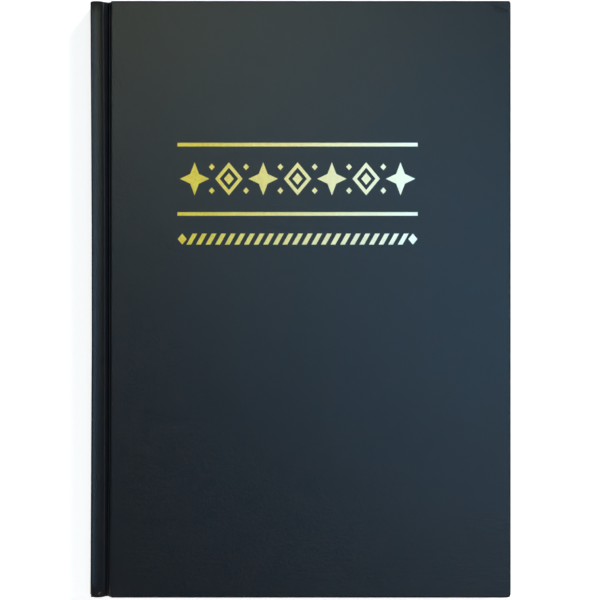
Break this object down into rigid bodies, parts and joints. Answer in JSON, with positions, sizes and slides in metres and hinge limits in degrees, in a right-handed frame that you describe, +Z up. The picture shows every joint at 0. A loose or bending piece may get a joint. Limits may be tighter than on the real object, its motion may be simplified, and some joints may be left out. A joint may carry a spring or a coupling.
{
  "type": "case-bound logbook",
  "caption": "Hardback logbook: sewn sections in a dark blue leathercloth case with gold blocking; covers and front leaves turn at the spine.",
  "frame": {"origin": "middle of the closed book's footprint, on the surface that its back cover lies on", "axes": "+X towards the fore-edge, +Y towards the head of the page, +Z up through the pages to the front cover"},
  "size_m": [0.2144, 0.3042, 0.0188],
  "materials": {
    "cover_cloth": "dark blue grained leathercloth with a soft sheen",
    "greyboard": "grey millboard",
    "gold_foil": "hot-stamped gold foil",
    "endpaper": "smooth off-white endpaper",
    "page_paper": "uncoated off-white writing paper",
    "mull": "open-weave starched cotton",
    "kraft": "brown kraft paper",
    "headband": "blue and white striped woven band",
    "thread": "waxed linen thread"
  },
  "bodies": {
    "text_block": {"spine_board": "greyboard", "spine_cloth": "cover_cloth", "front_joint_cloth": "cover_cloth", "back_joint_cloth": "cover_cloth", "spine_kraft": "kraft", "spine_mull": "mull", "headband": "headband", "tailband": "headband", "sewing_thread": "thread", "front_endpaper_fold": "endpaper", "back_endpaper_fold": "endpaper", "back_flyleaf": "endpaper", "section_1_fold": "page_paper", "section_2_fold": "page_paper", "section_3_fold": "page_paper", "section_4_fold": "page_paper", "section_4_back_leaves": "page_paper", "section_5": "page_paper", "section_6": "page_paper", "section_7": "page_paper", "section_8": "page_paper"},
    "front_cover": {"front_board": "greyboard", "front_cover_cloth": "cover_cloth", "front_mull_flange": "mull", "front_pastedown": "endpaper", "upper_rule": "gold_foil", "title_frieze": "gold_foil", "lower_rule": "gold_foil", "rope_border": "gold_foil"},
    "back_cover": {"back_board": "greyboard", "back_cover_cloth": "cover_cloth", "back_mull_flange": "mull", "back_pastedown": "endpaper"},
    "front_flyleaf": {"front_flyleaf": "endpaper"},
    "section_1": {"section_1": "page_paper"},
    "section_2": {"section_2": "page_paper"},
    "section_3": {"section_3": "page_paper"},
    "section_4_front": {"section_4_front_leaves": "page_paper"}
  },
  "joints": [
    {"name": "front_cover_hinge", "type": "hinge", "parent": "text_block", "child": "front_cover", "pos_m": [-0.10405, 0, 0.0172], "axis": [0, -1, 0], "range_deg": [0, 179.9]},
    {"name": "back_cover_hinge", "type": "hinge", "parent": "text_block", "child": "back_cover", "pos_m": [-0.10405, 0, 0.0016], "axis": [0, 1, 0], "range_deg": [0, 179.95]},
    {"name": "front_flyleaf_turn", "type": "hinge", "parent": "text_block", "child": "front_flyleaf", "pos_m": [-0.10405, 0, 0.0172], "axis": [0, -1, 0], "range_deg": [0, 179.1]},
    {"name": "section_1_turn", "type": "hinge", "parent": "text_block", "child": "section_1", "pos_m": [-0.10405, 0, 0.0172], "axis": [0, -1, 0], "range_deg": [0, 178.2]},
    {"name": "section_2_turn", "type": "hinge", "parent": "text_block", "child": "section_2", "pos_m": [-0.10405, 0, 0.0172], "axis": [0, -1, 0], "range_deg": [0, 177.3]},
    {"name": "section_3_turn", "type": "hinge", "parent": "text_block", "child": "section_3", "pos_m": [-0.10405, 0, 0.0172], "axis": [0, -1, 0], "range_deg": [0, 176.4]},
    {"name": "section_4_front_turn", "type": "hinge", "parent": "text_block", "child": "section_4_front", "pos_m": [-0.10405, 0, 0.0172], "axis": [0, -1, 0], "range_deg": [0, 175]}
  ],
  "couplings": [
    {"joint": "front_flyleaf_turn", "follows": "front_cover_hinge", "ratio": 0.995},
    {"joint": "section_1_turn", "follows": "front_cover_hinge", "ratio": 0.99},
    {"joint": "section_2_turn", "follows": "front_cover_hinge", "ratio": 0.985},
    {"joint": "section_3_turn", "follows": "front_cover_hinge", "ratio": 0.98},
    {"joint": "section_4_front_turn", "follows": "front_cover_hinge", "ratio": 0.972}
  ]
}
